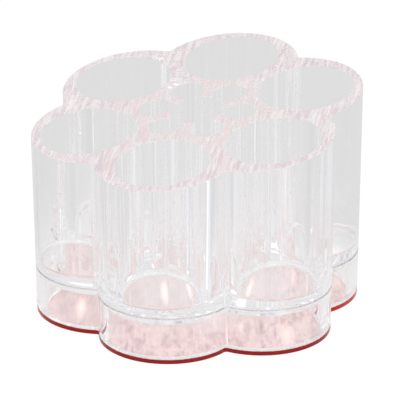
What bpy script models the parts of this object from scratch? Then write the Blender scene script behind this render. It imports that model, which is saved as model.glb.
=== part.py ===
"""Clear flower-shaped makeup organizer.

Six round cups stand in a ring round a centre compartment with six pencil notches. One slanted
plane cuts the whole top. The cup block lifts off a shallow petal-shaped tray, which is a clear
ring on a tinted plate.

The origin is the centre of the face that it stands on. +Z is up, and the top rises towards +Y.
"""

import math

import bmesh
import bpy
from mathutils import Vector

# Cups, spaced evenly around the ring with a web between neighbours
LOBE_COUNT = 6
CUP_RING_RADIUS = 0.038
CUP_WEB = 0.0054
CUP_RADIUS = CUP_RING_RADIUS * math.sin(math.pi / LOBE_COUNT) - CUP_WEB / 2
CUP_FLOOR_FILLET = 0.0015
INSIDE_DRAFT = math.radians(0.5)

# Petal outline at the height of the resting face, one lobe around each cup
OUTER_WALL = 0.0017
LOBE_SETBACK = 0.0057
LOBE_RING_RADIUS = CUP_RING_RADIUS - LOBE_SETBACK
LOBE_RADIUS = CUP_RADIUS + LOBE_SETBACK + OUTER_WALL
VALLEY_FILLET = 0.0026
TRAY_VALLEY_FILLET = 0.001
OUTSIDE_DRAFT = math.radians(1.0)

# Heights from the resting face
PLATE_THICKNESS = 0.0015
TRAY_HEIGHT = 0.0165
FLOOR_HEIGHT = 0.0187
AXIS_HEIGHT = 0.0703
TOP_SLOPE = math.radians(8.0)

# Tray ring, and the locating rim of the block that drops into it
RING_WALL = 0.0034
LOCATING_DEPTH = 0.0033
LOCATING_CLEARANCE = 0.0003
SEAT_GAP = 0.0003

# Centre compartment: round notches inside the ring of cups, with fins between them
NOTCH_SETBACK = 0.0069
NOTCH_RING_RADIUS = CUP_RING_RADIUS - CUP_RADIUS - NOTCH_SETBACK
FIN_WIDTH = 0.0032
NOTCH_RADIUS = NOTCH_RING_RADIUS * math.sin(math.pi / LOBE_COUNT) - FIN_WIDTH / 2
CENTRE_OVERLAP = 0.0001
CENTRE_RADIUS = NOTCH_RING_RADIUS - NOTCH_RADIUS + CENTRE_OVERLAP
FIN_TIP_FILLET = 0.0009
CENTRE_FLOOR_FILLET = 0.0007

# Softened edges and cuts
RIM_EDGE = 0.0004
PLATE_EDGE = 0.0002
CUT_OVERRUN = 0.003

# Facets
LOBE_STEPS = 18
VALLEY_STEPS = 3
CUP_STEPS = 44
NOTCH_STEPS = 7
FIN_CORNER_STEPS = 3
FIN_TIP_STEPS = 2
FILLET_STEPS = 3
EDGE_STEPS = 2
SHARP_ANGLE = math.radians(30.0)

# Finish: colour, roughness and light let through
CLEAR_COLOUR = (0.93, 0.93, 0.93, 1.0)
TINT_COLOUR = (0.78, 0.10, 0.12, 1.0)
GLOSS_ROUGHNESS = 0.04
PLASTIC_IOR = 1.57


def clear_scene():
    for obj in list(bpy.data.objects):
        bpy.data.objects.remove(obj, do_unlink=True)


def polar(radius, angle, centre=(0.0, 0.0)):
    return Vector((centre[0] + radius * math.cos(angle), centre[1] + radius * math.sin(angle)))


def bearing(start, end):
    return math.atan2(end[1] - start[1], end[0] - start[0])


def arc(centre, radius, start, end, steps):
    """Points of an arc from one angle to another, with both ends."""
    return [polar(radius, start + (end - start) * i / steps, centre) for i in range(steps + 1)]


def turned_near(angle, target):
    """The same direction, as the angle within half a turn of target."""
    full = 2 * math.pi
    return angle + full * round((target - angle) / full)


def around(sector, count):
    """A sector's points repeated around the axis, without the double point where two meet."""
    points = []
    for k in range(count):
        turn = 2 * math.pi * k / count
        for p in sector[:-1]:
            points.append(Vector((
                p.x * math.cos(turn) - p.y * math.sin(turn),
                p.x * math.sin(turn) + p.y * math.cos(turn),
            )))
    return points


def petal_outline(offset=0.0, fillet=VALLEY_FILLET):
    """The six-lobed outline moved outwards by offset, as one lobe and one valley repeated."""
    half = math.pi / LOBE_COUNT
    lobe_centre = Vector((LOBE_RING_RADIUS, 0.0))
    next_centre = polar(LOBE_RING_RADIUS, 2 * half)
    chord_half = LOBE_RING_RADIUS * math.sin(half)
    beyond = math.sqrt((LOBE_RADIUS + fillet) ** 2 - chord_half ** 2)
    valley_centre = polar(LOBE_RING_RADIUS * math.cos(half) + beyond, half)
    reach = bearing(lobe_centre, valley_centre)
    lobe = arc(lobe_centre, LOBE_RADIUS + offset, -reach, reach, LOBE_STEPS)
    inward = half + math.pi
    start = turned_near(bearing(valley_centre, lobe_centre), inward)
    end = turned_near(bearing(valley_centre, next_centre), inward)
    valley = arc(valley_centre, fillet - offset, start, end, VALLEY_STEPS)
    return around(lobe[:-1] + valley, LOBE_COUNT)


def tray_outline(offset=0.0):
    """The tray's outline, with the sharper valleys of its own mould."""
    return petal_outline(offset, TRAY_VALLEY_FILLET)


def cup_outline(centre, offset=0.0):
    return arc(centre, CUP_RADIUS + offset, 0.0, 2 * math.pi, CUP_STEPS)[:-1]


def centre_outline(offset=0.0):
    """The centre compartment's outline moved outwards by offset: notches between rounded fins."""
    half = math.pi / LOBE_COUNT
    corner_ring = CENTRE_RADIUS + FIN_TIP_FILLET
    corner_reach = NOTCH_RADIUS + FIN_TIP_FILLET
    cosine = (corner_ring ** 2 + NOTCH_RING_RADIUS ** 2 - corner_reach ** 2) / (
        2 * corner_ring * NOTCH_RING_RADIUS
    )
    tip = half - math.acos(cosine)
    notch_before = polar(NOTCH_RING_RADIUS, -half)
    corner_before = polar(corner_ring, -tip)
    notch_end = turned_near(bearing(notch_before, corner_before), half)
    sector = arc(notch_before, NOTCH_RADIUS + offset, -half, notch_end, NOTCH_STEPS)
    corner_start = turned_near(bearing(corner_before, notch_before), -math.pi / 2)
    corner_end = -tip - math.pi
    sector += arc(
        corner_before, FIN_TIP_FILLET - offset, corner_start, corner_end, FIN_CORNER_STEPS
    )[1:]
    sector += arc((0.0, 0.0), CENTRE_RADIUS + offset, -tip, tip, FIN_TIP_STEPS)[1:]
    mirrored = [Vector((p.x, -p.y)) for p in reversed(sector[: -FIN_TIP_STEPS - 1])]
    return around(sector + mirrored, LOBE_COUNT)


def top_height(point):
    return AXIS_HEIGHT + point.y * math.tan(TOP_SLOPE)


def level(outline, height):
    return [Vector((p.x, p.y, height)) for p in outline]


def under_top(outline, drop):
    """The outline laid parallel to the slanted top, this far below it."""
    return [Vector((p.x, p.y, top_height(p) - drop)) for p in outline]


def loft(name, loops):
    """A closed solid through loops of equal length, bottom to top, capped at both ends."""
    mesh = bpy.data.meshes.new(name)
    shape = bmesh.new()
    rows = [[shape.verts.new(p) for p in loop] for loop in loops]
    count = len(rows[0])
    for low, high in zip(rows, rows[1:]):
        for i in range(count):
            j = (i + 1) % count
            shape.faces.new((low[i], low[j], high[j], high[i]))
    shape.faces.new(reversed(rows[0]))
    shape.faces.new(rows[-1])
    bmesh.ops.recalc_face_normals(shape, faces=shape.faces)
    shape.to_mesh(mesh)
    shape.free()
    obj = bpy.data.objects.new(name, mesh)
    bpy.context.scene.collection.objects.link(obj)
    return obj


def cut(target, cutter):
    """Takes the cutter's shape out of the target."""
    cutter.hide_render = True
    cutter.display_type = "WIRE"
    cutter.hide_set(True)
    modifier = target.modifiers.new("cut " + cutter.name, "BOOLEAN")
    modifier.operation = "DIFFERENCE"
    modifier.solver = "EXACT"
    modifier.object = cutter


def round_below(radius, steps):
    """(inset, rise) along a rounded lower corner, from its foot up to the wall."""
    turns = [math.pi / 2 * i / steps for i in range(steps + 1)]
    return [(radius * (1 - math.sin(t)), radius * (1 - math.cos(t))) for t in turns]


def round_above(radius, steps):
    """(inset, drop) along a rounded upper edge, from the wall up to the flat."""
    turns = [math.pi / 2 * i / steps for i in range(steps + 1)]
    return [(radius * (1 - math.cos(t)), radius * (1 - math.sin(t))) for t in turns]


def plastic(name, colour):
    material = bpy.data.materials.new(name)
    material.use_nodes = True
    shader = material.node_tree.nodes["Principled BSDF"]
    shader.inputs["Base Color"].default_value = colour
    shader.inputs["Roughness"].default_value = GLOSS_ROUGHNESS
    shader.inputs["Metallic"].default_value = 0.0
    shader.inputs["IOR"].default_value = PLASTIC_IOR
    shader.inputs["Transmission Weight"].default_value = 1.0
    return material


def finished(obj, colour):
    obj.data.materials.append(plastic(obj.name, colour))
    obj.data.shade_smooth()
    obj.data.set_sharp_from_angle(angle=SHARP_ANGLE)
    return obj


def outside_offset(height):
    """How far the drafted outside has widened at this height."""
    return height * math.tan(OUTSIDE_DRAFT)


def inside_offset(height):
    """How far a drafted compartment has narrowed at this height below its rim."""
    return (height - AXIS_HEIGHT) * math.tan(INSIDE_DRAFT)


def base_plate():
    """The tinted plate under the ring, with slightly softened edges."""
    loops = [
        level(tray_outline(-PLATE_EDGE), 0.0),
        level(tray_outline(), PLATE_EDGE),
        level(tray_outline(), PLATE_THICKNESS - PLATE_EDGE),
        level(tray_outline(-PLATE_EDGE), PLATE_THICKNESS),
    ]
    return finished(loft("base_plate", loops), TINT_COLOUR)


def base_ring():
    """The petal-shaped wall of the tray, open above and below."""
    low = PLATE_THICKNESS + SEAT_GAP
    loops = [
        level(tray_outline(outside_offset(low) - PLATE_EDGE), low),
        level(tray_outline(outside_offset(low)), low + PLATE_EDGE),
    ]
    for inset, drop in round_above(RIM_EDGE, EDGE_STEPS):
        loops.append(level(tray_outline(outside_offset(TRAY_HEIGHT) - inset), TRAY_HEIGHT - drop))
    ring = loft("base_ring", loops)
    inside = tray_outline(-RING_WALL)
    opening = [level(inside, low - CUT_OVERRUN), level(inside, TRAY_HEIGHT + CUT_OVERRUN)]
    cut(ring, loft("tray_space", opening))
    return finished(ring, CLEAR_COLOUR)


def block_body():
    """The uncut block: locating rim, underside that rests on the ring, wall and slanted top."""
    seat = TRAY_HEIGHT + SEAT_GAP
    foot = seat - LOCATING_DEPTH
    rim_offset = -RING_WALL - LOCATING_CLEARANCE
    loops = []
    for inset, rise in round_below(RIM_EDGE, EDGE_STEPS):
        loops.append(level(tray_outline(rim_offset - inset), foot + rise))
    loops.append(level(tray_outline(rim_offset), seat))
    for inset, rise in round_below(RIM_EDGE, EDGE_STEPS):
        loops.append(level(petal_outline(outside_offset(seat) - inset), seat + rise))
    for inset, drop in round_above(RIM_EDGE, EDGE_STEPS):
        loops.append(under_top(petal_outline(outside_offset(AXIS_HEIGHT) - inset), drop))
    return loft("cup_block", loops)


def compartment(name, outline_at, floor_fillet):
    """A cutter for one compartment: rounded floor corner, drafted wall and softened rim."""
    loops = []
    for inset, rise in round_below(floor_fillet, FILLET_STEPS):
        height = FLOOR_HEIGHT + rise
        loops.append(level(outline_at(inside_offset(height) - inset), height))
    for inset, drop in round_above(RIM_EDGE, EDGE_STEPS):
        loops.append(under_top(outline_at(inset), drop))
    loops.append(under_top(outline_at(RIM_EDGE), -CUT_OVERRUN))
    return loft(name, loops)


def cup_block():
    """The block with its six cups and its centre compartment."""
    block = block_body()
    for k in range(LOBE_COUNT):
        centre = polar(CUP_RING_RADIUS, 2 * math.pi * k / LOBE_COUNT)

        def cup_at(offset, centre=centre):
            return cup_outline(centre, offset)

        cut(block, compartment("cup_space_" + str(k + 1), cup_at, CUP_FLOOR_FILLET))
    cut(block, compartment("centre_space", centre_outline, CENTRE_FLOOR_FILLET))
    return finished(block, CLEAR_COLOUR)


clear_scene()
base_plate()
base_ring()
cup_block()
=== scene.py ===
"""Looks of the clear flower-shaped makeup organizer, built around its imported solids.

The three mouldings are made again here with many more facets, so that the clear plastic bends
light smoothly. Each one replaces its solid and rides on the same body.
"""

import math

import bmesh
import bpy
from mathutils import Matrix, Vector

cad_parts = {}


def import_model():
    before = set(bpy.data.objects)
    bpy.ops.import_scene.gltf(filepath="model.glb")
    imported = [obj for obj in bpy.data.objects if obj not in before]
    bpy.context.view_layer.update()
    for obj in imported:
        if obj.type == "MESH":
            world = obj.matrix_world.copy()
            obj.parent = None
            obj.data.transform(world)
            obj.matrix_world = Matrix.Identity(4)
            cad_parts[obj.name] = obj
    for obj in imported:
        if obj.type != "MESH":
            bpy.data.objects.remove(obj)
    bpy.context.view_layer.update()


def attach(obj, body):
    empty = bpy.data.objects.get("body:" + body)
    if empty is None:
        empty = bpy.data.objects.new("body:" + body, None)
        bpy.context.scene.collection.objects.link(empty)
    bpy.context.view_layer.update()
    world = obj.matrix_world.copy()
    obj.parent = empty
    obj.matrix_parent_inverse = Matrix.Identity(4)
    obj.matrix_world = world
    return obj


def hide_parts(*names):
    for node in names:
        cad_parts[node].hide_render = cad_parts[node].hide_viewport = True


# Petal outline, at the height of the resting face, in metres
LOBE_COUNT = 6
LOBE_RING_RADIUS = 0.0323
LOBE_RADIUS = 0.0237
VALLEY_FILLET = 0.0026
TRAY_VALLEY_FILLET = 0.001
OUTSIDE_DRAFT = math.radians(1.0)

# Heights from the resting face
PLATE_THICKNESS = 0.0015
TRAY_HEIGHT = 0.0165
FLOOR_HEIGHT = 0.0187
AXIS_HEIGHT = 0.0703
TOP_SLOPE = math.radians(8.0)

# Tray ring, and the locating rim of the block that drops into it
RING_WALL = 0.0034
LOCATING_DEPTH = 0.0033
LOCATING_CLEARANCE = 0.0003
SEAT_GAP = 0.0003

# Cups
CUP_RING_RADIUS = 0.038
CUP_RADIUS = 0.0163
CUP_FLOOR_FILLET = 0.0015
INSIDE_DRAFT = math.radians(0.5)

# Centre compartment
NOTCH_RING_RADIUS = 0.0148
NOTCH_RADIUS = 0.0058
CENTRE_RADIUS = 0.0091
FIN_TIP_FILLET = 0.0009
CENTRE_FLOOR_FILLET = 0.0007

# Softened edges
RIM_EDGE = 0.0004
PLATE_EDGE = 0.0002

# How far the outside is held inside the solids' own
VISUAL_INSET = 0.00001

# Facets
LOBE_STEPS = 72
VALLEY_STEPS = 14
CUP_STEPS = 176
NOTCH_STEPS = 30
FIN_CORNER_STEPS = 8
FIN_TIP_STEPS = 6
FILLET_STEPS = 8
EDGE_STEPS = 5
SHARP_ANGLE = math.radians(40.0)

# Camera, fitted to the photograph
CAMERA_PLACE = (1.0895, -0.9785, 0.6604)
CAMERA_HEADING = math.radians(138.04)
CAMERA_PITCH = math.radians(23.069)
CAMERA_ROLL = math.radians(-0.101)
FOCAL_PIXELS = 4642.255
PHOTO_PIXELS = 400.0
SENSOR_WIDTH = 36.0

# Turns a place's own X and Y into right and along the camera's heading
VIEW_TURN = CAMERA_HEADING - math.pi / 2

# Sockets of the Mix node: first value, second value and result
MIX_SOCKETS = {"RGBA": (6, 7, 2), "FLOAT": (2, 3, 0)}
WHITE = (1.0, 1.0, 1.0, 1.0)

# Plastic. A named pair of numbers, here and below, is where a change starts and where it is
# complete.
PLASTIC_IOR = 1.57
CLEAR_SHADOW = (0.95, 0.95, 0.95, 1.0)
TINTED_SHADOW = (0.97, 0.92, 0.92, 1.0)
STEEP_NORMAL = (0.6, 0.2)

# Ripple of the moulding on upright walls, above the edge of the block's floor
RIPPLE_DEPTH = 0.00002
RIPPLE_SCALE = (520.0, 520.0, 2.0)
RIPPLE_DETAIL = 1.0
RIPPLE_HEIGHT = (0.020, 0.026)

# Faint tints on the walls seen from outside: at the height of the seam a darker line, painted shade
# in the gap between block and tray, and at that of the block's floor a cool one
SHADE_AND_TINT_BANDS = (
    # middle height, half-height with and without the soft edge, colour
    (TRAY_HEIGHT + SEAT_GAP / 2, (0.0005, 0.0001), (0.70, 0.73, 0.76, 1.0)),
    ((TRAY_HEIGHT + SEAT_GAP + FLOOR_HEIGHT) / 2, (0.0014, 0.0009), (0.955, 0.985, 0.99, 1.0)),
)

# Strokes of painted light on the slanted top, where the many walls are seen end on: a painted pink
# glow of the light that the walls carry up from the red plate, painted shade and painted
# highlights. They start above a height, and they are weaker near the axis.
PAINTED_STROKE_HEIGHT = (0.045, 0.055)
PAINTED_STROKE_REACH = (0.018, 0.034)
PAINTED_STROKE_MIDDLE_SHARE = 0.3
PAINTED_STROKE_TURN = math.radians(-10.0)
PAINTED_STROKE_SCALE = (760.0, 90.0, 1.0)
PAINTED_STROKE_DETAIL = 1.0
PAINTED_GLOW_TINT = (1.0, 0.93, 0.94, 1.0)
PAINTED_SHADE_STROKE = (0.82, 0.64, 0.74, 1.0)
PAINTED_SHADE_RANGE = (0.45, 0.40)
PAINTED_SHEEN = (0.98, 0.87, 0.89, 1.0)
PAINTED_SHEEN_SHARE = 0.3
PAINTED_HIGHLIGHT = (1.0, 0.99, 0.97, 1.0)
PAINTED_HIGHLIGHT_SHARE = 0.75
PAINTED_HIGHLIGHT_RANGE = (0.57, 0.62)

# Red plate, and its edge, which is a lighter red on the side away from the photograph's camera
TINT_ABSORPTION = (0.93, 0.08, 0.03, 1.0)
TINT_DENSITY = 122.0
EDGE_COLOUR = (0.35, 0.003, 0.002, 1.0)
# The lighter red on the far side is painted light, the edge as if lit from behind
EDGE_PAINTED_LIT_COLOUR = (0.78, 0.03, 0.03, 1.0)
EDGE_PAINTED_LIT_REACH = (-0.027, 0.006)
EDGE_NORMAL = (0.8, 0.5)
EDGE_SHARE = 0.9
EDGE_ROUGHNESS = 0.15
EDGE_SPECULAR = 0.25

# Stage floor, by the kind of ray that meets it. In and through the plastic it has one colour, other
# ones in some directions from the axis, which are painted light and shade, and a paler one near the
# axis, a painted pool of light, which ends over PALE_REACH.
FLOOR_GAP = 0.0001
STAGE_SIZE = 6.0
FLOOR_DIFFUSE = (0.2, 0.2, 0.2, 1.0)
FLOOR_TO_CAMERA = (0.85, 0.85, 0.85, 1.0)
FLOOR_TO_DIFFUSE = (0.6, 0.6, 0.6, 1.0)
FLOOR_COLOUR = (0.56, 0.56, 0.56, 1.0)
# Wide bands of painted light and painted shade in some directions from the axis
FLOOR_BANDS = (
    # bearing to the right of the camera's heading, height above the horizon, half-width without
    # and with the soft edge, all in degrees, and colour
    (90.0, 0.0, 18.0, 40.0, (0.53, 0.53, 0.54, 1.0)),
    (-90.0, 0.0, 20.0, 45.0, (0.53, 0.525, 0.53, 1.0)),
    (180.0, 0.0, 52.0, 68.0, (0.68, 0.685, 0.71, 1.0)),
)
# A painted pool of light near the axis
PALE_REACH = (0.055, 0.12)
PAINTED_POOL_COLOUR = (0.68, 0.68, 0.68, 1.0)
# Narrow bands of painted light and painted shade, also near the axis
NARROW_BANDS = (
    # as in FLOOR_BANDS, also over the paler floor
    (34.0, 0.0, 10.0, 20.0, (0.575, 0.57, 0.57, 1.0)),
    (147.5, 0.0, 3.0, 6.0, (1.12, 1.10, 1.00, 1.0)),
    (152.0, 0.0, 1.5, 3.5, (1.20, 1.20, 1.20, 1.0)),
    (157.0, 0.0, 3.0, 6.0, (0.74, 0.78, 0.95, 1.0)),
)

# Mottled light that the plastic throws on the floor under it, with calmer pools and with bright
# and dark streaks. It ends over UNDER_REACH from the axis.
UNDER_REACH = (0.056, 0.062)
MOTTLE_LAYERS = (
    # scale to the right and along the camera's heading, range of the noise
    ((210.0, 90.0, 1.0), (0.38, 0.64)),
    ((620.0, 150.0, 1.0), (0.36, 0.64)),
)
MOTTLE_DETAIL = 3.0
MOTTLE_DISTORTION = 1.0
MOTTLE_SHARE = 0.5
MOTTLE_DARK = (0.52, 0.465, 0.475, 1.0)
MOTTLE_BRIGHT = (1.00, 1.00, 0.99, 1.0)
CALM_POOLS = (
    # right and along, half-width and half-length, share, colour
    ((0.0, 0.0), (0.034, 0.034), 0.75, (0.76, 0.84, 0.84, 1.0)),
    ((-0.001, 0.028), (0.036, 0.020), 0.42, (0.60, 0.70, 0.70, 1.0)),
    ((-0.037, -0.008), (0.019, 0.022), 0.52, (0.59, 0.585, 0.595, 1.0)),
)
CALM_EVEN_SHARE = 0.53
STREAKS = (
    # right and along, half-width and half-length, colour
    ((-0.0084, -0.0040), (0.0029, 0.0135), (1.80, 1.70, 1.58, 1.0)),
    ((0.0072, -0.0010), (0.0026, 0.0130), (1.70, 1.60, 1.55, 1.0)),
    ((0.0307, 0.0100), (0.0027, 0.0130), (1.18, 1.10, 1.06, 1.0)),
    ((-0.0401, -0.0080), (0.0026, 0.0140), (1.30, 1.28, 1.24, 1.0)),
    ((-0.0080, -0.0430), (0.0040, 0.0030), (0.95, 0.85, 0.85, 1.0)),
    ((0.0148, -0.0250), (0.0013, 0.0070), (1.10, 1.05, 1.07, 1.0)),
    ((0.0185, -0.0210), (0.0009, 0.0050), (1.00, 0.94, 0.96, 1.0)),
    ((0.0300, -0.0310), (0.0032, 0.0150), (1.14, 1.08, 1.03, 1.0)),
    ((-0.0319, -0.0300), (0.0010, 0.0060), (1.05, 0.97, 0.97, 1.0)),
    ((0.0108, -0.0310), (0.0010, 0.0160), (1.90, 1.90, 1.90, 1.0)),
    ((0.0216, -0.0242), (0.0012, 0.0080), (0.42, 0.34, 0.38, 1.0)),
    ((0.0262, -0.0300), (0.0008, 0.0090), (0.48, 0.40, 0.44, 1.0)),
    ((-0.0235, -0.0400), (0.0008, 0.0090), (0.46, 0.38, 0.42, 1.0)),
    ((-0.0215, -0.0430), (0.0006, 0.0060), (0.46, 0.38, 0.42, 1.0)),
)

# Room round the stage, white to the camera, and its one lamp
ROOM_TO_DIFFUSE = (0.75, 0.75, 0.75, 1.0)
ROOM_COLOUR = (0.78, 0.78, 0.80, 1.0)
ROOM_PATCHES = (
    # as in FLOOR_BANDS
    (0.0, 23.0, 20.0, 40.0, (0.84, 0.84, 0.87, 1.0)),
    (-20.0, 23.0, 4.0, 9.0, (1.20, 1.19, 1.16, 1.0)),
    (0.0, 85.0, 30.0, 60.0, (0.90, 0.90, 0.90, 1.0)),
    (65.0, 12.0, 14.0, 24.0, (0.55, 0.56, 0.62, 1.0)),
    (105.0, 25.0, 8.0, 16.0, (1.25, 1.24, 1.22, 1.0)),
    (-80.0, 22.0, 10.0, 18.0, (1.12, 1.06, 1.02, 1.0)),
    (-125.0, 15.0, 12.0, 22.0, (0.52, 0.52, 0.56, 1.0)),
    (150.0, 50.0, 12.0, 22.0, (1.35, 1.35, 1.35, 1.0)),
)
LAMP_PLACE = (1.47, -0.31, 1.8)
LAMP_TARGET = (0.0, 0.0, 0.04)
LAMP_SIZE = 1.2
LAMP_POWER = 9.0

# Light paths, long enough for all the walls that stand behind each other
PLASTIC_BOUNCES = 48
TRANSPARENT_BOUNCES = 32


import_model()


def polar(radius, angle, centre=(0.0, 0.0)):
    return Vector((centre[0] + radius * math.cos(angle), centre[1] + radius * math.sin(angle)))


def bearing(start, end):
    return math.atan2(end[1] - start[1], end[0] - start[0])


def arc(centre, radius, start, end, steps):
    """Points of an arc from one angle to another, with both ends."""
    return [polar(radius, start + (end - start) * i / steps, centre) for i in range(steps + 1)]


def turned_near(angle, target):
    """The same direction, as the angle within half a turn of target."""
    full = 2 * math.pi
    return angle + full * round((target - angle) / full)


def around(sector, count):
    """A sector's points repeated around the axis, without the double point where two meet."""
    points = []
    for k in range(count):
        turn = 2 * math.pi * k / count
        for p in sector[:-1]:
            points.append(Vector((
                p.x * math.cos(turn) - p.y * math.sin(turn),
                p.x * math.sin(turn) + p.y * math.cos(turn),
            )))
    return points


def petal_outline(offset, fillet=VALLEY_FILLET):
    """The six-lobed outline moved outwards by offset, as one lobe and one valley repeated."""
    half = math.pi / LOBE_COUNT
    lobe_centre = Vector((LOBE_RING_RADIUS, 0.0))
    next_centre = polar(LOBE_RING_RADIUS, 2 * half)
    chord_half = LOBE_RING_RADIUS * math.sin(half)
    beyond = math.sqrt((LOBE_RADIUS + fillet) ** 2 - chord_half ** 2)
    valley_centre = polar(LOBE_RING_RADIUS * math.cos(half) + beyond, half)
    reach = bearing(lobe_centre, valley_centre)
    lobe = arc(lobe_centre, LOBE_RADIUS + offset, -reach, reach, LOBE_STEPS)
    inward = half + math.pi
    start = turned_near(bearing(valley_centre, lobe_centre), inward)
    end = turned_near(bearing(valley_centre, next_centre), inward)
    valley = arc(valley_centre, fillet - offset, start, end, VALLEY_STEPS)
    return around(lobe[:-1] + valley, LOBE_COUNT)


def outside_outline(offset):
    """The outline of the block's outside, held a hair inside the solid's."""
    return petal_outline(offset - VISUAL_INSET)


def tray_outline(offset):
    """The outline of the tray, with the sharper valleys of its own mould."""
    return petal_outline(offset - VISUAL_INSET, TRAY_VALLEY_FILLET)


def cup_outline(centre, offset):
    return arc(centre, CUP_RADIUS + offset, 0.0, 2 * math.pi, CUP_STEPS)[:-1]


def centre_outline(offset):
    """The centre compartment's outline moved outwards by offset: notches between rounded fins."""
    half = math.pi / LOBE_COUNT
    corner_ring = CENTRE_RADIUS + FIN_TIP_FILLET
    corner_reach = NOTCH_RADIUS + FIN_TIP_FILLET
    cosine = (corner_ring ** 2 + NOTCH_RING_RADIUS ** 2 - corner_reach ** 2) / (
        2 * corner_ring * NOTCH_RING_RADIUS
    )
    tip = half - math.acos(cosine)
    notch_before = polar(NOTCH_RING_RADIUS, -half)
    corner_before = polar(corner_ring, -tip)
    notch_end = turned_near(bearing(notch_before, corner_before), half)
    sector = arc(notch_before, NOTCH_RADIUS + offset, -half, notch_end, NOTCH_STEPS)
    corner_start = turned_near(bearing(corner_before, notch_before), -math.pi / 2)
    corner_end = -tip - math.pi
    sector += arc(
        corner_before, FIN_TIP_FILLET - offset, corner_start, corner_end, FIN_CORNER_STEPS
    )[1:]
    sector += arc((0.0, 0.0), CENTRE_RADIUS + offset, -tip, tip, FIN_TIP_STEPS)[1:]
    mirrored = [Vector((p.x, -p.y)) for p in reversed(sector[: -FIN_TIP_STEPS - 1])]
    return around(sector + mirrored, LOBE_COUNT)


def top_height(point):
    return AXIS_HEIGHT + point.y * math.tan(TOP_SLOPE)


def level(outline, height):
    return [Vector((p.x, p.y, height)) for p in outline]


def under_top(outline, drop):
    """The outline laid parallel to the slanted top, this far below it."""
    return [Vector((p.x, p.y, top_height(p) - drop)) for p in outline]


def round_below(radius, steps):
    """(inset, rise) along a rounded lower corner, from its foot up to the wall."""
    turns = [math.pi / 2 * i / steps for i in range(steps + 1)]
    return [(radius * (1 - math.sin(t)), radius * (1 - math.cos(t))) for t in turns]


def round_above(radius, steps):
    """(inset, drop) along a rounded upper edge, from the wall up to the flat."""
    turns = [math.pi / 2 * i / steps for i in range(steps + 1)]
    return [(radius * (1 - math.cos(t)), radius * (1 - math.sin(t))) for t in turns]


def outside_offset(height):
    return height * math.tan(OUTSIDE_DRAFT)


def inside_offset(height):
    return (height - AXIS_HEIGHT) * math.tan(INSIDE_DRAFT)


def skin(shape, loops):
    """Joins loops of equal length into a wall, and returns the vertices of the first and last."""
    rows = [[shape.verts.new(p) for p in loop] for loop in loops]
    count = len(rows[0])
    for low, high in zip(rows, rows[1:]):
        for i in range(count):
            j = (i + 1) % count
            shape.faces.new((low[i], low[j], high[j], high[i]))
    return rows[0], rows[-1]


def closed_edges(shape, row):
    return [shape.edges.get((row[i - 1], row[i])) for i in range(len(row))]


def fill(shape, rows):
    """A flat face between an outline and the outlines of the holes in it."""
    edges = []
    for row in rows:
        edges += closed_edges(shape, row)
    bmesh.ops.triangle_fill(shape, edges=edges, use_beauty=True)


def made(name, shape, material, body, node):
    """Turns the shape into a smooth piece that stands for a CAD node."""
    bmesh.ops.recalc_face_normals(shape, faces=shape.faces)
    mesh = bpy.data.meshes.new(name)
    shape.to_mesh(mesh)
    shape.free()
    obj = bpy.data.objects.new(name, mesh)
    bpy.context.scene.collection.objects.link(obj)
    mesh.materials.append(material)
    mesh.shade_smooth()
    mesh.set_sharp_from_angle(angle=SHARP_ANGLE)
    even = obj.modifiers.new("even shading", "WEIGHTED_NORMAL")
    even.mode = "FACE_AREA"
    even.keep_sharp = True
    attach(obj, body)
    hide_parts(node)


def tinted_plate(material):
    shape = bmesh.new()
    loops = [level(tray_outline(-i), r) for i, r in round_below(PLATE_EDGE, EDGE_STEPS)]
    for inset, drop in round_above(PLATE_EDGE, EDGE_STEPS):
        loops.append(level(tray_outline(-inset), PLATE_THICKNESS - drop))
    bottom, top = skin(shape, loops)
    fill(shape, [bottom])
    fill(shape, [top])
    made("tinted_plate", shape, material, "tray", "base_plate")


def clear_ring(material):
    """The tray's wall, one closed band with softened edges."""
    low = PLATE_THICKNESS + SEAT_GAP
    shape = bmesh.new()
    loops = []
    for inset, rise in round_below(PLATE_EDGE, EDGE_STEPS):
        loops.append(level(tray_outline(outside_offset(low) - inset), low + rise))
    for inset, drop in round_above(RIM_EDGE, EDGE_STEPS):
        loops.append(level(tray_outline(outside_offset(TRAY_HEIGHT) - inset), TRAY_HEIGHT - drop))
    for inset, drop in reversed(round_above(PLATE_EDGE, EDGE_STEPS)):
        loops.append(level(tray_outline(-RING_WALL + inset), TRAY_HEIGHT - drop))
    for inset, rise in reversed(round_below(PLATE_EDGE, EDGE_STEPS)):
        loops.append(level(tray_outline(-RING_WALL + inset), low + rise))
    first, last = skin(shape, loops)
    count = len(first)
    for i in range(count):
        j = (i + 1) % count
        shape.faces.new((last[i], last[j], first[j], first[i]))
    made("clear_ring", shape, material, "tray", "base_ring")


def compartment_loops(outline_at, floor_fillet):
    """Floor corner, drafted wall and softened rim of one compartment, floor first."""
    loops = []
    for inset, rise in round_below(floor_fillet, FILLET_STEPS):
        height = FLOOR_HEIGHT + rise
        loops.append(level(outline_at(inside_offset(height) - inset), height))
    for inset, drop in round_above(RIM_EDGE, EDGE_STEPS):
        loops.append(under_top(outline_at(inset), drop))
    return loops


def compartment(shape, outline_at, floor_fillet):
    """Adds one open compartment with its floor, and returns the vertices of its rim."""
    floor_row, rim = skin(shape, compartment_loops(outline_at, floor_fillet))
    fill(shape, [floor_row])
    return rim


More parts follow.
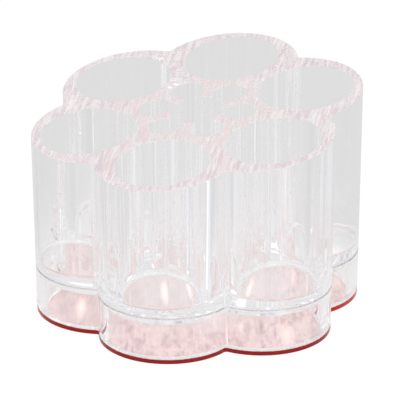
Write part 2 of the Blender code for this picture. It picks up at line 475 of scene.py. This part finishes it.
def clear_block(material):
    """The cup block: locating rim, seat, drafted wall, slanted top and seven compartments."""
    seat = TRAY_HEIGHT + SEAT_GAP
    foot = seat - LOCATING_DEPTH
    rim_offset = -RING_WALL - LOCATING_CLEARANCE
    shape = bmesh.new()
    loops = []
    for inset, rise in round_below(RIM_EDGE, EDGE_STEPS):
        loops.append(level(tray_outline(rim_offset - inset), foot + rise))
    loops.append(level(tray_outline(rim_offset), seat))
    for inset, rise in round_below(RIM_EDGE, EDGE_STEPS):
        loops.append(level(outside_outline(outside_offset(seat) - inset), seat + rise))
    for inset, drop in round_above(RIM_EDGE, EDGE_STEPS):
        loops.append(under_top(outside_outline(outside_offset(AXIS_HEIGHT) - inset), drop))
    bottom, top = skin(shape, loops)
    fill(shape, [bottom])
    rims = [top]
    for k in range(LOBE_COUNT):
        centre = polar(CUP_RING_RADIUS, 2 * math.pi * k / LOBE_COUNT)

        def cup_at(offset, centre=centre):
            return cup_outline(centre, offset)

        rims.append(compartment(shape, cup_at, CUP_FLOOR_FILLET))
    rims.append(compartment(shape, centre_outline, CENTRE_FLOOR_FILLET))
    fill(shape, rims)
    made("clear_block", shape, material, "block", "cup_block")


def joined(tree, value, socket):
    """Gives a socket a value, or links it to the output that is given instead of one."""
    if isinstance(value, bpy.types.NodeSocket):
        tree.links.new(value, socket)
    else:
        socket.default_value = value


def calculated(tree, operation, first, second=0.0):
    node = tree.nodes.new("ShaderNodeMath")
    node.operation = operation
    joined(tree, first, node.inputs[0])
    joined(tree, second, node.inputs[1])
    return node.outputs["Value"]


def component(tree, vector, axis):
    node = tree.nodes.new("ShaderNodeSeparateXYZ")
    tree.links.new(vector, node.inputs["Vector"])
    return node.outputs[axis]


def length(tree, vector):
    node = tree.nodes.new("ShaderNodeVectorMath")
    node.operation = "LENGTH"
    tree.links.new(vector, node.inputs[0])
    return node.outputs["Value"]


def mapped(tree, vector, kind, place=(0.0, 0.0, 0.0), turn=0.0, scale=(1.0, 1.0, 1.0)):
    node = tree.nodes.new("ShaderNodeMapping")
    node.vector_type = kind
    node.inputs["Location"].default_value = place
    node.inputs["Rotation"].default_value = (0.0, 0.0, turn)
    node.inputs["Scale"].default_value = scale
    tree.links.new(vector, node.inputs["Vector"])
    return node.outputs["Vector"]


def noise(tree, vector, scale, detail, distortion=0.0):
    """Soft noise between 0 and 1, with a scale for each axis."""
    node = tree.nodes.new("ShaderNodeTexNoise")
    node.inputs["Scale"].default_value = 1.0
    node.inputs["Detail"].default_value = detail
    node.inputs["Distortion"].default_value = distortion
    tree.links.new(mapped(tree, vector, "POINT", scale=scale), node.inputs["Vector"])
    return node.outputs["Fac"]


def faded(tree, value, start, end):
    """0 at start and 1 at end, eased."""
    node = tree.nodes.new("ShaderNodeMapRange")
    node.interpolation_type = "SMOOTHSTEP"
    node.inputs["From Min"].default_value = start
    node.inputs["From Max"].default_value = end
    tree.links.new(value, node.inputs["Value"])
    return node.outputs["Result"]


def blended(tree, share, first, second, kind="RGBA"):
    """Mixes two colours or numbers, each given as a value or as an output to link."""
    node = tree.nodes.new("ShaderNodeMix")
    node.data_type = kind
    first_socket, second_socket, result = MIX_SOCKETS[kind]
    joined(tree, share, node.inputs[0])
    joined(tree, first, node.inputs[first_socket])
    joined(tree, second, node.inputs[second_socket])
    return node.outputs[result]


def mixed(tree, share, first, second):
    """Mixes two shaders."""
    node = tree.nodes.new("ShaderNodeMixShader")
    tree.links.new(share, node.inputs["Fac"])
    tree.links.new(first, node.inputs[1])
    tree.links.new(second, node.inputs[2])
    return node.outputs["Shader"]


def levelness(tree):
    """1 on level faces, 0 on upright walls, and the height of the face's normal between."""
    normal = tree.nodes.new("ShaderNodeNewGeometry").outputs["True Normal"]
    return calculated(tree, "ABSOLUTE", component(tree, normal, "Z"))


def steepness(tree):
    """1 on upright walls, 0 on level faces and on the slanted top."""
    return faded(tree, levelness(tree), *STEEP_NORMAL)


def in_band(tree, height, middle, half_heights):
    """1 near a middle height, fading to 0 above and below it."""
    off = calculated(tree, "ABSOLUTE", calculated(tree, "SUBTRACT", height, middle))
    return faded(tree, off, *half_heights)


def plastic(name):
    """A new material of clear glossy plastic, and its shader."""
    material = bpy.data.materials.new(name)
    material.use_nodes = True
    shader = material.node_tree.nodes["Principled BSDF"]
    shader.inputs["Base Color"].default_value = WHITE
    shader.inputs["Metallic"].default_value = 0.0
    shader.inputs["Roughness"].default_value = 0.0
    shader.inputs["IOR"].default_value = PLASTIC_IOR
    shader.inputs["Transmission Weight"].default_value = 1.0
    return material, shader


def shown(tree, surface, shadow_colour):
    """Gives the material this surface, which lets shadow rays and diffuse rays straight through."""
    clear = tree.nodes.new("ShaderNodeBsdfTransparent")
    clear.inputs["Color"].default_value = shadow_colour
    path = tree.nodes.new("ShaderNodeLightPath")
    passing = calculated(
        tree, "MAXIMUM", path.outputs["Is Shadow Ray"], path.outputs["Is Diffuse Ray"]
    )
    either = mixed(tree, passing, surface, clear.outputs["BSDF"])
    tree.links.new(either, tree.nodes["Material Output"].inputs["Surface"])


def rippled_normal(tree, place, height):
    """The faint ripple of a moulding, on upright walls above the block's floor."""
    bump = tree.nodes.new("ShaderNodeBump")
    bump.inputs["Distance"].default_value = RIPPLE_DEPTH
    tree.links.new(noise(tree, place, RIPPLE_SCALE, RIPPLE_DETAIL), bump.inputs["Height"])
    above = faded(tree, height, *RIPPLE_HEIGHT)
    tree.links.new(blended(tree, steepness(tree), 0.0, above, "FLOAT"), bump.inputs["Strength"])
    return bump.outputs["Normal"]


def painted_stroke_share(tree, place, height, inside):
    """Where the strokes of painted light are: on the slanted top seen from outside, and weaker in
    its middle.
    """
    high = faded(tree, height, *PAINTED_STROKE_HEIGHT)
    top = blended(tree, steepness(tree), high, 0.0, "FLOAT")
    weaker = calculated(tree, "MULTIPLY", top, PAINTED_STROKE_MIDDLE_SHARE)
    flat = mapped(tree, place, "POINT", scale=(1.0, 1.0, 0.0))
    outer = faded(tree, length(tree, flat), *PAINTED_STROKE_REACH)
    share = blended(tree, outer, weaker, top, "FLOAT")
    return blended(tree, inside, share, 0.0, "FLOAT")


def clear_plastic():
    """Rippled clear plastic, with strokes of painted pink glow, shade and highlights on the slanted
    top.
    """
    material, shader = plastic("clear_plastic")
    tree = material.node_tree
    place = tree.nodes.new("ShaderNodeTexCoord").outputs["Object"]
    inside = tree.nodes.new("ShaderNodeNewGeometry").outputs["Backfacing"]
    height = component(tree, place, "Z")
    tree.links.new(rippled_normal(tree, place, height), shader.inputs["Normal"])

    # Painted light in strokes on the slanted top: a painted pink glow and painted shade in the
    # colour
    share = painted_stroke_share(tree, place, height, inside)
    turned = mapped(tree, place, "TEXTURE", turn=VIEW_TURN + PAINTED_STROKE_TURN)
    strokes = noise(tree, turned, PAINTED_STROKE_SCALE, PAINTED_STROKE_DETAIL)
    painted_stroke_colour = blended(tree, faded(tree, strokes, *PAINTED_SHADE_RANGE), PAINTED_GLOW_TINT, PAINTED_SHADE_STROKE)
    colour = blended(tree, share, WHITE, painted_stroke_colour)
    # Bands on the walls; the one at the seam is painted shade in the gap between the parts
    for middle, half_heights, band_colour in SHADE_AND_TINT_BANDS:
        band = in_band(tree, height, middle, half_heights)
        outer_band = blended(tree, inside, band, 0.0, "FLOAT")
        colour = blended(tree, outer_band, colour, band_colour)
    tree.links.new(colour, shader.inputs["Base Color"])

    # Painted highlights: a pale diffuse sheen where the strokes are brightest
    painted_highlight_mask = faded(tree, strokes, *PAINTED_HIGHLIGHT_RANGE)
    painted_sheen = tree.nodes.new("ShaderNodeBsdfDiffuse")
    tree.links.new(blended(tree, painted_highlight_mask, PAINTED_SHEEN, PAINTED_HIGHLIGHT), painted_sheen.inputs["Color"])
    painted_sheen_share = blended(tree, painted_highlight_mask, PAINTED_SHEEN_SHARE, PAINTED_HIGHLIGHT_SHARE, "FLOAT")
    painted_sheen_share = calculated(tree, "MULTIPLY", painted_sheen_share, share)
    surface = mixed(tree, painted_sheen_share, shader.outputs["BSDF"], painted_sheen.outputs["BSDF"])
    shown(tree, surface, CLEAR_SHADOW)
    return material


def edge_shader(tree):
    """Deep red, and a lighter red of painted light, as if lit from behind, on the side away from
    the camera.
    """
    edge = tree.nodes.new("ShaderNodeBsdfPrincipled")
    edge.inputs["Roughness"].default_value = EDGE_ROUGHNESS
    edge.inputs["Specular IOR Level"].default_value = EDGE_SPECULAR
    place = tree.nodes.new("ShaderNodeTexCoord").outputs["Object"]
    along = component(tree, mapped(tree, place, "TEXTURE", turn=VIEW_TURN), "Y")
    painted_lit = faded(tree, along, *EDGE_PAINTED_LIT_REACH)
    tree.links.new(blended(tree, painted_lit, EDGE_COLOUR, EDGE_PAINTED_LIT_COLOUR), edge.inputs["Base Color"])
    return edge.outputs["BSDF"]


def tinted_plastic():
    """Red by absorption inside, pale through the plate's face, with a deep red edge."""
    material, shader = plastic("tinted_plastic")
    tree = material.node_tree
    absorption = tree.nodes.new("ShaderNodeVolumeAbsorption")
    absorption.inputs["Color"].default_value = TINT_ABSORPTION
    absorption.inputs["Density"].default_value = TINT_DENSITY
    tree.links.new(absorption.outputs["Volume"], tree.nodes["Material Output"].inputs["Volume"])
    share = tree.nodes.new("ShaderNodeMapRange")
    start, end = EDGE_NORMAL
    share.inputs["From Min"].default_value = start
    share.inputs["From Max"].default_value = end
    share.inputs["To Max"].default_value = EDGE_SHARE
    tree.links.new(levelness(tree), share.inputs["Value"])
    surface = mixed(tree, share.outputs["Result"], shader.outputs["BSDF"], edge_shader(tree))
    shown(tree, surface, TINTED_SHADOW)
    return material


def by_ray(tree, to_camera, in_plastic, to_diffuse):
    """One colour seen directly, one in and through plastic, and one for plain light."""
    path = tree.nodes.new("ShaderNodeLightPath")
    through = calculated(
        tree, "MAXIMUM", path.outputs["Is Glossy Ray"], path.outputs["Is Transmission Ray"]
    )
    indirect = blended(tree, through, to_diffuse, in_plastic)
    return blended(tree, path.outputs["Is Camera Ray"], indirect, to_camera)


def towards(bearing_right, height):
    """The direction at a bearing to the right of the camera's heading and a height, in degrees."""
    turn = CAMERA_HEADING - math.radians(bearing_right)
    up = math.radians(height)
    return (math.cos(turn) * math.cos(up), math.sin(turn) * math.cos(up), math.sin(up))


def patch(tree, direction, middle, even, soft):
    """1 within even degrees of the middle direction, fading to 0 at soft degrees."""
    facing = tree.nodes.new("ShaderNodeVectorMath")
    facing.operation = "DOT_PRODUCT"
    facing.inputs[1].default_value = middle
    tree.links.new(direction, facing.inputs[0])
    start = math.cos(math.radians(soft))
    end = math.cos(math.radians(even))
    return faded(tree, facing.outputs["Value"], start, end)


def with_patches(tree, colour, direction, patches):
    """The colour with soft patches of other colours, each in its own direction."""
    for turn, height, even, soft, patch_colour in patches:
        share = patch(tree, direction, towards(turn, height), even, soft)
        colour = blended(tree, share, colour, patch_colour)
    return colour


def oval(tree, turned, middle, half_sizes, even):
    """1 inside an oval on the floor up to the even part of its size, fading to 0 at its edge."""
    near = mapped(tree, turned, "TEXTURE", (*middle, 0.0), scale=(*half_sizes, 1.0))
    return faded(tree, length(tree, near), 1.0, even)


def light_under(tree, place):
    """The mottled light on the floor under the plastic, with its pools and streaks."""
    turned = mapped(tree, place, "TEXTURE", turn=VIEW_TURN)
    colour = MOTTLE_DARK
    for scale, (low, high) in MOTTLE_LAYERS:
        speck = noise(tree, turned, scale, MOTTLE_DETAIL, MOTTLE_DISTORTION)
        share = calculated(tree, "MULTIPLY", faded(tree, speck, low, high), MOTTLE_SHARE)
        colour = blended(tree, share, colour, MOTTLE_BRIGHT)
    for middle, half_sizes, strength, pool in CALM_POOLS:
        inner = oval(tree, turned, middle, half_sizes, CALM_EVEN_SHARE)
        share = calculated(tree, "MULTIPLY", inner, strength)
        colour = blended(tree, share, colour, pool)
    for middle, half_sizes, streak in STREAKS:
        colour = blended(tree, oval(tree, turned, middle, half_sizes, 0.0), colour, streak)
    return colour


def floor_in_plastic(tree, place):
    """The floor in and through the plastic: grey with bands of painted light and shade, a painted
    pool of light near it, and painted mottled light under it.
    """
    direction = tree.nodes.new("ShaderNodeVectorMath")
    direction.operation = "NORMALIZE"
    tree.links.new(place, direction.inputs[0])
    away = length(tree, place)
    seen = with_patches(tree, FLOOR_COLOUR, direction.outputs["Vector"], FLOOR_BANDS)
    seen = blended(tree, faded(tree, away, *PALE_REACH), PAINTED_POOL_COLOUR, seen)
    seen = with_patches(tree, seen, direction.outputs["Vector"], NARROW_BANDS)
    return blended(tree, faded(tree, away, *UNDER_REACH), light_under(tree, place), seen)


def floor():
    """The stage's floor, which to the camera is as good as white."""
    mesh = bpy.data.meshes.new("floor")
    half = STAGE_SIZE / 2
    corners = [(x * half, y * half, -FLOOR_GAP) for x, y in ((-1, -1), (1, -1), (1, 1), (-1, 1))]
    mesh.from_pydata(corners, [], [(0, 1, 2, 3)])
    obj = bpy.data.objects.new("floor", mesh)
    bpy.context.scene.collection.objects.link(obj)
    material = bpy.data.materials.new("floor")
    material.use_nodes = True
    tree = material.node_tree
    tree.nodes.remove(tree.nodes["Principled BSDF"])
    place = tree.nodes.new("ShaderNodeNewGeometry").outputs["Position"]
    seen = by_ray(tree, FLOOR_TO_CAMERA, floor_in_plastic(tree, place), FLOOR_TO_DIFFUSE)
    diffuse = tree.nodes.new("ShaderNodeBsdfDiffuse")
    diffuse.inputs["Color"].default_value = FLOOR_DIFFUSE
    glow = tree.nodes.new("ShaderNodeEmission")
    tree.links.new(seen, glow.inputs["Color"])
    both = tree.nodes.new("ShaderNodeAddShader")
    tree.links.new(diffuse.outputs["BSDF"], both.inputs[0])
    tree.links.new(glow.outputs["Emission"], both.inputs[1])
    tree.links.new(both.outputs["Shader"], tree.nodes["Material Output"].inputs["Surface"])
    mesh.materials.append(material)


def world():
    """White to the camera, and in and through the plastic a pale room with soft patches."""
    surroundings = bpy.data.worlds.new("studio")
    bpy.context.scene.world = surroundings
    surroundings.use_nodes = True
    tree = surroundings.node_tree
    direction = tree.nodes.new("ShaderNodeTexCoord").outputs["Generated"]
    room = with_patches(tree, ROOM_COLOUR, direction, ROOM_PATCHES)
    seen = by_ray(tree, WHITE, room, ROOM_TO_DIFFUSE)
    tree.links.new(seen, tree.nodes["Background"].inputs["Color"])


def lamp():
    """A large soft lamp that the plastic doesn't mirror or show."""
    data = bpy.data.lights.new("key", "AREA")
    data.shape = "RECTANGLE"
    data.size = LAMP_SIZE
    data.size_y = LAMP_SIZE
    data.energy = LAMP_POWER
    obj = bpy.data.objects.new("key", data)
    bpy.context.scene.collection.objects.link(obj)
    obj.location = LAMP_PLACE
    obj.visible_glossy = False
    obj.visible_transmission = False
    aim = Vector(LAMP_TARGET) - Vector(LAMP_PLACE)
    obj.rotation_euler = aim.to_track_quat("-Z", "Y").to_euler()


def camera():
    """The camera at the photograph's own place and angle."""
    data = bpy.data.cameras.new("camera")
    data.sensor_width = SENSOR_WIDTH
    data.lens = FOCAL_PIXELS / PHOTO_PIXELS * SENSOR_WIDTH
    data.clip_end = 2 * STAGE_SIZE
    obj = bpy.data.objects.new("camera", data)
    bpy.context.scene.collection.objects.link(obj)
    heading = polar(1.0, CAMERA_HEADING)
    level_share = math.cos(CAMERA_PITCH)
    forward = Vector((heading.x * level_share, heading.y * level_share, -math.sin(CAMERA_PITCH)))
    side = forward.cross(Vector((0.0, 0.0, 1.0))).normalized()
    up = side.cross(forward)
    right = side * math.cos(CAMERA_ROLL) + up * math.sin(CAMERA_ROLL)
    above = right.cross(forward)
    turn = Matrix((right, above, -forward)).transposed()
    obj.matrix_world = Matrix.Translation(CAMERA_PLACE) @ turn.to_4x4()
    bpy.context.scene.camera = obj


def render_settings(scene):
    scene.view_settings.view_transform = "Standard"
    scene.cycles.max_bounces = PLASTIC_BOUNCES
    scene.cycles.glossy_bounces = PLASTIC_BOUNCES
    scene.cycles.transmission_bounces = PLASTIC_BOUNCES
    scene.cycles.transparent_max_bounces = TRANSPARENT_BOUNCES
    scene.cycles.caustics_reflective = False
    scene.cycles.caustics_refractive = False


render_settings(bpy.context.scene)
clear = clear_plastic()
tinted_plate(tinted_plastic())
clear_ring(clear)
clear_block(clear)
floor()
world()
lamp()
camera()
